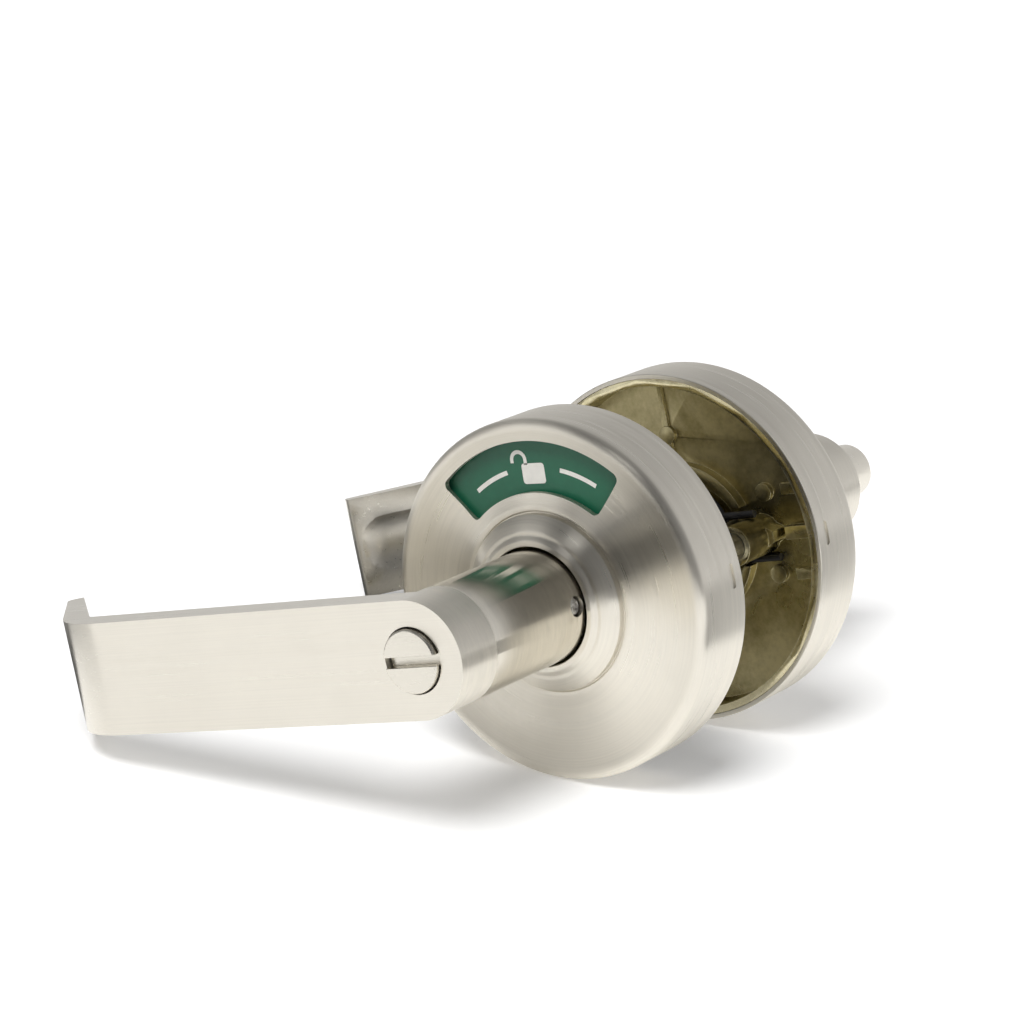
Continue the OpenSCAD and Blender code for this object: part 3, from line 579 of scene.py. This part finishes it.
def tubeMesh(name, path, radius, side, sides=64, balls=10):
    # round tube with ball ends along points in the plane of the arm, (u, level) in mm
    rings = []
    for i, spot in enumerate(path):
        ahead = path[min(i + 1, len(path) - 1)] - path[max(i - 1, 0)]
        rings.append((spot, ahead.normalized(), radius))
    start, end = rings[0], rings[-1]
    first = [(start[0] - start[1] * radius * math.sin(math.radians(90 * k / balls)), start[1],
              radius * math.cos(math.radians(90 * k / balls))) for k in range(balls - 1, 0, -1)]
    last = [(end[0] + end[1] * radius * math.sin(math.radians(90 * k / balls)), end[1],
             radius * math.cos(math.radians(90 * k / balls))) for k in range(1, balls)]
    work = bmesh.new()
    loops = []
    for spot, ahead, r in first + rings + last:
        beside = Vector((-ahead.y, ahead.x))
        loop = []
        for k in range(sides):
            a = 2 * math.pi * k / sides
            flat = spot + beside * r * math.cos(a)
            loop.append(work.verts.new((flat.x * mm, side * flat.y * mm, r * math.sin(a) * mm)))
        loops.append(loop)
    for here, after in zip(loops, loops[1:]):
        for k in range(sides):
            n = (k + 1) % sides
            work.faces.new((here[k], here[n], after[n], after[k]))
    for loop, spot in ((loops[0], start[0] - start[1] * radius), (loops[-1], end[0] + end[1] * radius)):
        pole = work.verts.new((spot.x * mm, side * spot.y * mm, 0))
        for k in range(sides):
            work.faces.new((loop[k], loop[(k + 1) % sides], pole))
    return finishMesh(work, name)


def scoopPath(corner, tipIn):
    # the hollow behind the arm runs from the neck round the bend to a land at the tip
    off = lever["scoopRadius"] - lever["scoopDepth"]
    along = (tipIn - corner).normalized()
    turn = math.atan2(-along.y, -along.x)
    elbow = lever["scoopElbow"]
    start = corner.x + (off + elbow) * math.tan(turn / 2)
    level = corner.y - off
    path = [Vector((-lock["neckRadius"] - lever["scoopRadius"] - lever["scoopFromNeck"], level))]
    path += [Vector(p) for p in arcPoints(start, level - elbow, elbow, 90, 90 + math.degrees(turn), 12)]
    rest = lever["tipLength"] - lever["scoopRadius"] - lever["tipLand"] - elbow * math.tan(turn / 2)
    path.append(path[-1] + along * rest)
    return path


def cylinderMesh(name, radius, low, high, side, steps=128):
    return spunMesh(name, [(0, low), (radius, low), (radius, high), (0, high)], side, steps)


def makeLever(name, side, node, headCutters):
    neck, front = lock["neckRadius"], lock["leverFront"]
    outline, corner, tipIn = armOutline()
    piece = linkPiece(name, cylinderMesh(name, neck, lock["neckBack"], front, side, 160))
    arm = linkPiece("arm", prismMesh("arm", outline, "uw", -neck, neck, side))
    carve(piece, [arm], "UNION")
    cutters = [linkPiece("scoop", tubeMesh("scoop", scoopPath(corner, tipIn), lever["scoopRadius"], side)),
               linkPiece("bore", cylinderMesh("bore", lever["boreRadius"], lock["neckBack"] - past,
                                              front - lever["web"], side, 96))]
    hole = arcPoints(0, lever["catchLevel"], lever["catchHole"], 0, 360 - 360 / 32, 31)
    cutters.append(linkPiece("catchHole", prismMesh("catchHole", hole, "vw", lever["catchFrom"],
                                                    neck + 2 * past, side)))
    cutters += [linkPiece("head", cylinderMesh("head", r, low, high, side, 96))
                for r, low, high in headCutters]
    carve(piece, cutters)
    work = bmeshOf(piece.data)
    bmesh.ops.dissolve_limit(work, angle_limit=math.radians(0.3), verts=work.verts, edges=work.edges)
    writeMesh(work, piece.data)
    piece.data.materials.clear()
    piece.data.materials.append(finish["armNickel"])
    piece.data.materials.append(finish["neckNickel"])
    for face in piece.data.polygons:
        spot = face.center / mm
        nearNeck = math.hypot(spot.x, spot.z) < neck + lever["neckMargin"] and spot.x > -neck
        face.material_index = 1 if nearNeck and abs(face.normal.y) < lever["neckSlope"] else 0
    softenEdges(piece, lever["edge"], 50, 3)
    standIn(piece, node)


# holes in the heads: (radius, low, high)
front = lock["leverFront"]
makeLever("leverOutside", outside, "outside_lever",
          [(lever["stemHole"], front - lever["web"] - past, front - lever["pocket"] + past),
           (lever["turnPocketRadius"], front - lever["pocket"], front + past)])
makeLever("leverInside", inside, "inside_lever",
          [(lever["buttonHole"], front - lever["buttonHoleFoot"], front + past)])
print("levers made")


# coin turn and push button
coinTurn = {"radius": 7.6, "foot": 80.3, "edge": 0.55, "footEdge": 0.1, "slotWidth": 2.5, "slotDepth": 3.0,
            "slotEdge": 0.18, "stemRadius": 3.98, "stemFoot": 69.9, "stemEdge": 0.2}
button = {"radius": 7.15, "foot": 58.4, "edge": 0.5, "footEdge": 0.2}


def headMesh(name, head, end, side):
    # a round head from its foot to its end
    profile = roundCorners([(0, head["foot"], 0), (head["radius"], head["foot"], head["footEdge"]),
                            (head["radius"], end, head["edge"]), (0, end, 0)], 5)
    return spunMesh(name, profile, side, 128)


def makeCoinTurn():
    end, r = lock["coinTurnEnd"], coinTurn["radius"]
    piece = linkPiece("coinTurnHead", headMesh("coinTurnHead", coinTurn, end, outside))
    w = coinTurn["slotWidth"] / 2
    slotBox = [(-r - past, -w), (r + past, -w), (r + past, w), (-r - past, w)]
    carve(piece, [linkPiece("slot", prismMesh("slot", slotBox, "uv", end - coinTurn["slotDepth"],
                                              end + past, outside))])
    piece.data.materials.append(finish["headNickel"])
    softenEdges(piece, coinTurn["slotEdge"], 40)
    stem = linkPiece("coinTurnStem", cylinderMesh("coinTurnStem", coinTurn["stemRadius"],
                                                  coinTurn["stemFoot"], coinTurn["foot"], outside, 64))
    stem.data.materials.append(finish["headNickel"])
    softenEdges(stem, coinTurn["stemEdge"], 40)
    standIn(piece, "coin_turn")
    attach(stem, "coin_turn")


def makeButton():
    piece = linkPiece("buttonHead", headMesh("buttonHead", button, lock["buttonEnd"], inside))
    piece.data.materials.append(finish["buttonNickel"])
    softenEdges(piece, 0, 40)
    standIn(piece, "push_button")


makeCoinTurn()
makeButton()
print("coin turn and button made")


# springs: a wire swept along a path by a node tree
def wireTree():
    tree = bpy.data.node_groups.new("wireAlongPath", "GeometryNodeTree")
    for name, kind in (("Geometry", "NodeSocketGeometry"), ("Wire radius", "NodeSocketFloat"),
                       ("Sides", "NodeSocketInt"), ("Finish", "NodeSocketMaterial")):
        tree.interface.new_socket(name=name, in_out="INPUT", socket_type=kind)
    tree.interface.new_socket(name="Geometry", in_out="OUTPUT", socket_type="NodeSocketGeometry")
    start, end = tree.nodes.new("NodeGroupInput"), tree.nodes.new("NodeGroupOutput")
    circle = tree.nodes.new("GeometryNodeCurvePrimitiveCircle")
    sweep = tree.nodes.new("GeometryNodeCurveToMesh")
    smooth = tree.nodes.new("GeometryNodeSetShadeSmooth")
    realize = tree.nodes.new("GeometryNodeRealizeInstances")
    dress = tree.nodes.new("GeometryNodeSetMaterial")
    sweep.inputs["Fill Caps"].default_value = True
    link = tree.links.new
    link(start.outputs["Geometry"], sweep.inputs["Curve"])
    link(start.outputs["Wire radius"], circle.inputs["Radius"])
    link(start.outputs["Sides"], circle.inputs["Resolution"])
    link(circle.outputs["Curve"], sweep.inputs["Profile Curve"])
    link(sweep.outputs["Mesh"], smooth.inputs["Geometry"])
    link(smooth.outputs["Geometry"], realize.inputs["Geometry"])
    link(realize.outputs["Geometry"], dress.inputs["Geometry"])
    link(start.outputs["Finish"], dress.inputs["Material"])
    link(dress.outputs["Geometry"], end.inputs["Geometry"])
    return tree


def wirePiece(name, path, radius, node, sides=14):
    line = bpy.data.curves.new(name + "Path", "CURVE")
    line.dimensions = "3D"
    spline = line.splines.new("POLY")
    spline.points.add(len(path) - 1)
    for point, spot in zip(spline.points, path):
        point.co = (*spot, 1)
    guide = linkPiece(name + "Guide", line)
    sweep = guide.modifiers.new("sweep", "NODES")
    values = {"Wire radius": radius * mm, "Sides": sides, "Finish": finish["blackSteel"]}
    sweep.node_group = wires
    for socket in wires.interface.items_tree:
        if socket.in_out == "INPUT" and socket.name in values:
            sweep[socket.identifier] = values[socket.name]
    piece = linkPiece(name, plainMesh(guide))
    bpy.data.objects.remove(guide)
    work = bmeshOf(piece.data)
    bmesh.ops.recalc_face_normals(work, faces=work.faces)
    writeMesh(work, piece.data)
    standIn(piece, node)


returnSpring = {"wire": 0.95, "coil": 14.6, "turns": 2, "pitch": 2.45, "legHeight": 6.1, "bend": 2.5,
                "lowLevel": 26.35, "topReach": 24.5, "lowReach": 27.0, "coilSteps": 110, "bendStep": 8}
buttonSpring = {"wire": 0.4, "coil": 2.85, "turns": 9, "from": 25.5, "to": 57.9, "turnSteps": 24,
                "wireSides": 10}


def returnSpringPath(side):
    # a leg, a bend, the coil, a bend and the other leg: (u, v, level) in mm
    leg, bend, coil = returnSpring["legHeight"], returnSpring["bend"], returnSpring["coil"]
    bendU = math.sqrt((coil + bend) ** 2 - (leg + bend) ** 2)
    legAngle = math.degrees(math.atan2(leg + bend, bendU))
    turn = 360 * returnSpring["turns"] - 2 * legAngle
    low = returnSpring["lowLevel"]
    top = low - returnSpring["pitch"] * turn / 360
    bendSpots = []
    for degrees in range(0, 75, returnSpring["bendStep"]):
        a = math.radians(min(degrees, 90 - legAngle))
        bendSpots.append((bendU - bend * math.sin(a), leg + bend - bend * math.cos(a)))
    path = [(returnSpring["topReach"], leg, top)] + [(u, v, top) for u, v in bendSpots]
    count = returnSpring["coilSteps"]
    for i in range(1, count):
        a = math.radians(legAngle + turn * i / count)
        path.append((coil * math.cos(a), coil * math.sin(a), top + (low - top) * i / count))
    path += [(u, -v, low) for u, v in reversed(bendSpots)] + [(returnSpring["lowReach"], -leg, low)]
    return [(u * mm, side * w * mm, v * mm) for u, v, w in path]


def buttonSpringPath():
    count = buttonSpring["turns"] * buttonSpring["turnSteps"]
    length, coil = buttonSpring["to"] - buttonSpring["from"], buttonSpring["coil"]
    path = []
    for i in range(count + 1):
        a = 2 * math.pi * i / buttonSpring["turnSteps"]
        level = buttonSpring["from"] + length * i / count
        path.append((coil * math.cos(a) * mm, level * mm, coil * math.sin(a) * mm))
    return path


wires = wireTree()
for name, side, node in (("returnSpringOutside", outside, "outside_return_spring"),
                         ("returnSpringInside", inside, "inside_return_spring")):
    wirePiece(name, returnSpringPath(side), returnSpring["wire"], node)
wirePiece("buttonSpringCoil", buttonSpringPath(), buttonSpring["wire"], "button_spring",
          buttonSpring["wireSides"])
print("springs made")


# indicator labels with a plain padlock sign, open on green and shut on red
sign = {"radius": 32.1, "bodyWidth": 6.6, "bodyHeight": 5.0, "corner": 0.8, "shackle": 1.95,
        "stroke": 0.95, "lift": 0.06, "barHalf": 0.55, "barFrom": 14.0, "barTo": 33.0,
        "bodyDrop": 3.9, "shackleLeg": 0.9, "sunk": 0.3, "openGap": 0.2}


def signMesh(name, outlines, side):
    work = bmesh.new()
    level = lock["labelTop"] + sign["lift"]
    for outline in outlines:
        work.faces.new([work.verts.new((u * mm, side * level * mm, v * mm)) for u, v in outline])
    bmesh.ops.recalc_face_normals(work, faces=work.faces)
    for face in work.faces:
        if face.normal.y * side < 0:
            face.normal_flip()
    return writeMesh(work, bpy.data.meshes.new(name))


def padlockOutlines(isOpen):
    w, h, c = sign["bodyWidth"] / 2, sign["bodyHeight"], sign["corner"]
    base = sign["radius"] - sign["bodyDrop"]
    body = roundCorners([(-w, base, c), (w, base, c), (w, base + h, c), (-w, base + h, c)], 5)
    r, s = sign["shackle"], sign["stroke"]
    top = base + h
    shift = -2 * r if isOpen else 0
    archLevel = top + sign["shackleLeg"]
    outerArch = arcPoints(shift, archLevel, r + s / 2, 0, 180, 16)
    innerArch = arcPoints(shift, archLevel, r - s / 2, 180, 0, 16)
    rightEnd = top - sign["sunk"]
    leftEnd = top + sign["openGap"] if isOpen else rightEnd
    shackle = [(shift + r + s / 2, rightEnd)] + outerArch
    shackle += [(shift - r - s / 2, leftEnd), (shift - r + s / 2, leftEnd)] + innerArch
    shackle.append((shift + r - s / 2, rightEnd))
    return [body, shackle]


def barOutlines():
    bars = []
    r, t = sign["radius"], sign["barHalf"]
    for way in (-1, 1):
        a, b = 90 + way * sign["barFrom"], 90 + way * sign["barTo"]
        bars.append(arcPoints(0, 0, r + t, a, b, 14) + arcPoints(0, 0, r - t, b, a, 14))
    return bars


def makeSign(name, degrees, isOpen):
    outlines = [turnOutline(outline, degrees + rose["windowTurn"])
                for outline in padlockOutlines(isOpen) + barOutlines()]
    piece = linkPiece(name, signMesh(name, outlines, outside))
    piece.data.materials.append(finish["whiteInk"])
    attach(piece, "indicator")


makeSign("signOpen", 0, True)
makeSign("signShut", 90, False)
print("labels made")


# every other CAD node: a merged copy with softened edges and its own finish
edgeWidths = {"outside_plate": 0.35, "inside_plate": 0.35, "indicator_driver": 0.2, "drive_bar": 0.3,
              "threaded_posts": 0.3, "mounting_screws": 0.15}
plainEdge = 0.1
keepCad = {"green_label", "red_label", "indicator_disc"}
# plates whose bevelled edges carry a painted highlight in bright zinc, and whose door side is brighter
brightEdgePlates = {"outside_plate", "inside_plate"}
brightDoorSide = {"flatness": 0.9, "depth": 1}
pieceFinish = {"outside_catch_pin": "brightSteel", "inside_catch_pin": "brightSteel"}


def dressNode(node):
    original = frame["nodes"][node]
    if node in keepCad:
        original.data.materials.clear()
        original.data.materials.append(finish[slotFinish[slotOf(node)]])
        return
    words = node.split("_")
    name = words[0] + "".join(w.capitalize() for w in words[1:])
    work = bmeshOf(original.data)
    bmesh.ops.remove_doubles(work, verts=work.verts, dist=weldGap)
    bmesh.ops.dissolve_limit(work, angle_limit=math.radians(0.5), verts=work.verts, edges=work.edges)
    piece = linkPiece(name, writeMesh(work, bpy.data.meshes.new(name)))
    piece.data.materials.append(finish[pieceFinish.get(node, slotFinish[slotOf(node)])])
    edgeFinish = -1
    if node in brightEdgePlates:
        # brighter zinc on the door's side, and a painted highlight in bright zinc on every bevelled edge
        edgeFinish = 1
        piece.data.materials.append(finish["brightZinc"])
        for face in piece.data.polygons:
            nearDoor = abs(face.center.y) < (lock["doorFace"] + brightDoorSide["depth"]) * mm
            if nearDoor and abs(face.normal.y) > brightDoorSide["flatness"]:
                face.material_index = edgeFinish
    softenEdges(piece, edgeWidths.get(node, plainEdge), 40, edgeFinish=edgeFinish)
    standIn(piece, node)


standing = {n for piece in bpy.data.objects for n in piece.get("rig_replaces", [])}
for node in sorted(set(frame["nodes"]) - standing):
    dressNode(node)
print("CAD nodes dressed")


# floor, light and camera
studio = {
    "floorHalf": 3.0, "floorGrey": 0.86, "floorGlow": 0.24, "floorGap": 0.05, "tiltTip": (-135.5, -14.1),
    "middle": (-0.03, 0, 0), "sunStrength": 2.6, "sunAngle": 30, "sunFrom": (-0.2, 1.0, 0.6),
}
# brightness of the sky by height, from left to right, and in front of the lock: (place, brightness)
sky = {
    "height": ((0.0, 0.78), (0.35, 0.72), (0.68, 0.58), (0.9, 0.28)), "blueTint": 1.01,
    "sides": ((0.05, 0.3), (0.45, 1.0)), "front": ((0.1, 1.0), (0.8, 0.3)),
}
# lamps, placed to the right of the lock's middle, up from the floor and toward the camera, in metres
softboxes = {
    "keyLight": {"from": (-0.62, 0.68, 0.98), "size": (0.5, 0.35), "power": 0.55},
    "leftLight": {"from": (-0.83, 0.17, 0.28), "size": (0.3, 0.32), "power": 0.26},
}
# cards that only reflections show, as beside a product on a photographer's table: their corners on the
# floor in metres, how high the last two corners stand, and their grey
cardLift = 0.5               # how far above the roses' foot they lie, in mm
cards = {
    "frontCard": {"corners": ((-0.09, -0.30), (0.085, -0.30), (0.085, -0.30), (-0.09, -0.30)), "rise": 0.12,
                  "grey": 0.03},
    "leftMat": {"corners": ((-0.19, 0.02), (-0.19, -0.165), (-0.5, -0.36), (-0.5, 0.1)), "rise": 0.01,
                "grey": 0.22},
    "backMat": {"corners": ((-0.10, 0.09), (-0.10, -0.07), (-0.2, -0.07), (-0.2, 0.09)), "rise": 0,
                "grey": 0.04},
    "rightMat": {"corners": ((0.09, 0.06), (0.12, -0.08), (2.2, 0.7), (1.0, 2.4)), "rise": 0.01,
                 "grey": 0.3},
}
camera = {
    "azimuth": 38.139, "elevation": 8.027, "roll": -11.591, "distance": 823.257, "lensPixels": 3459.128,
    "aimX": 547.462, "aimY": 601.825, "aimLevel": 35.1, "imagePixels": 1024, "sensor": 36.0,
}


def floorTilt():
    # the lock lies on its roses and on the lever's tip
    u, v = studio["tiltTip"]
    reach = math.hypot(u, v)
    return math.asin(lock["roseRadius"] / reach) - math.atan2(-v, -u)


def makeFloor():
    tilt = floorTilt()
    normal = Vector((math.sin(tilt), 0, math.cos(tilt)))
    across = Vector((math.cos(tilt), 0, -math.sin(tilt)))
    centre = -normal * (lock["roseRadius"] + studio["floorGap"]) * mm
    half = studio["floorHalf"]
    work = bmesh.new()
    corners = [centre + across * a * half + Vector((0, 1, 0)) * b * half
               for a, b in ((-1, -1), (1, -1), (1, 1), (-1, 1))]
    work.faces.new([work.verts.new(c) for c in corners])
    floor = linkPiece("floor", writeMesh(work, bpy.data.meshes.new("floor")))
    material, tree, shader = newMaterial("paleFloor", (studio["floorGrey"],) * 3, 0.0, 0.9)
    shader.inputs["Specular IOR Level"].default_value = 0.1
    shader.inputs["Emission Color"].default_value = (1, 1, 1, 1)
    shader.inputs["Emission Strength"].default_value = studio["floorGlow"]
    floor.data.materials.append(material)
    return normal


def makeCamera():
    azimuth, elevation, roll = (math.radians(camera[k]) for k in ("azimuth", "elevation", "roll"))
    back = Vector((math.sin(azimuth) * math.cos(elevation), -math.cos(azimuth) * math.cos(elevation),
                   math.sin(elevation)))
    right = Vector((math.cos(azimuth), math.sin(azimuth), 0))
    up = back.cross(right)
    across = right * math.cos(roll) + up * math.sin(roll)
    upward = up * math.cos(roll) - right * math.sin(roll)
    perPixel = camera["distance"] / camera["lensPixels"]
    offX = (camera["aimX"] - camera["imagePixels"] / 2) * perPixel
    offY = (camera["aimY"] - camera["imagePixels"] / 2) * perPixel
    spot = -across * offX + upward * offY + back * camera["distance"] - Vector((0, camera["aimLevel"], 0))
    lens = bpy.data.cameras.new("camera")
    lens.sensor_width = camera["sensor"]
    lens.lens = camera["lensPixels"] / camera["imagePixels"] * camera["sensor"]
    lens.clip_start, lens.clip_end = 0.01, 20
    view = linkPiece("camera", lens)
    turned = Matrix((across, upward, back)).transposed().to_4x4()
    view.matrix_world = Matrix.Translation(spot * mm) @ turned
    bpy.context.scene.camera = view
    return across, upward, back


floorNormal = makeFloor()
across, upward, back = makeCamera()


def aimedLamp(name, light, source):
    # a lamp at right, up and toward the camera, aimed at the lock
    right, up, toward = source
    spoke = across * right + floorNormal * up + back * toward
    lamp = linkPiece(name, light)
    lamp.location = Vector(studio["middle"]) + spoke
    lamp.rotation_mode = "QUATERNION"
    lamp.rotation_quaternion = spoke.to_track_quat("Z", "Y")
    return lamp


def makeSoftbox(name, box):
    light = bpy.data.lights.new(name, "AREA")
    light.shape = "RECTANGLE"
    light.size, light.size_y = box["size"]
    light.energy = box["power"]
    aimedLamp(name, light, box["from"])


def makeSun():
    # it lights the floor and the matt pieces, and no metal mirrors it
    light = bpy.data.lights.new("topLight", "SUN")
    light.energy = studio["sunStrength"]
    light.angle = math.radians(studio["sunAngle"])
    aimedLamp("topLight", light, studio["sunFrom"]).visible_glossy = False


def makeCard(name, card):
    def onFloor(u, w, rise):
        level = -((lock["roseRadius"] - cardLift) * mm + floorNormal.x * u) / floorNormal.z
        return Vector((u, w, level)) + floorNormal * rise

    work = bmesh.new()
    foot = len(card["corners"]) - 2
    corners = [onFloor(u, w, 0 if i < foot else card["rise"]) for i, (u, w) in enumerate(card["corners"])]
    work.faces.new([work.verts.new(c) for c in corners])
    piece = linkPiece(name, writeMesh(work, bpy.data.meshes.new(name)))
    piece.data.materials.append(newMaterial(name, (card["grey"],) * 3, 0.0, 0.9)[0])
    piece.visible_camera = False
    piece.visible_diffuse = False
    piece.visible_shadow = False


def makeSky():
    # brightest near the horizon, darker overhead, to the left and behind the camera
    world = bpy.data.worlds.new("studio")
    world.use_nodes = True
    tree = world.node_tree
    place = addNode(tree, "ShaderNodeTexCoord")

    def along(direction):
        dot = addNode(tree, "ShaderNodeVectorMath", {1: direction}, operation="DOT_PRODUCT")
        tree.links.new(place.outputs["Generated"], dot.inputs[0])
        return dot.outputs["Value"]

    def greyStops(stops, blue=1.0):
        return [(position, (value, value, value * blue)) for position, value in stops]

    height = toneRamp(tree, along(floorNormal), greyStops(sky["height"], sky["blueTint"]))
    share = addNode(tree, "ShaderNodeMapRange", {1: -1.0, 2: 1.0})
    tree.links.new(along(across), share.inputs[0])
    sides = toneRamp(tree, share.outputs[0], greyStops(sky["sides"]))
    (near, nearLight), (far, farLight) = sky["front"]
    front = addNode(tree, "ShaderNodeMapRange", {1: near, 2: far, 3: nearLight, 4: farLight})
    tree.links.new(along(back), front.inputs[0])
    both = addNode(tree, "ShaderNodeMath", operation="MULTIPLY")
    tree.links.new(sides, both.inputs[0])
    tree.links.new(front.outputs[0], both.inputs[1])
    background = tree.nodes["Background"]
    tree.links.new(height, background.inputs["Color"])
    tree.links.new(both.outputs[0], background.inputs["Strength"])
    bpy.context.scene.world = world


for name, box in softboxes.items():
    makeSoftbox(name, box)
makeSun()
for name, card in cards.items():
    makeCard(name, card)
makeSky()
bpy.context.scene.view_settings.view_transform = "Standard"
print("studio made")
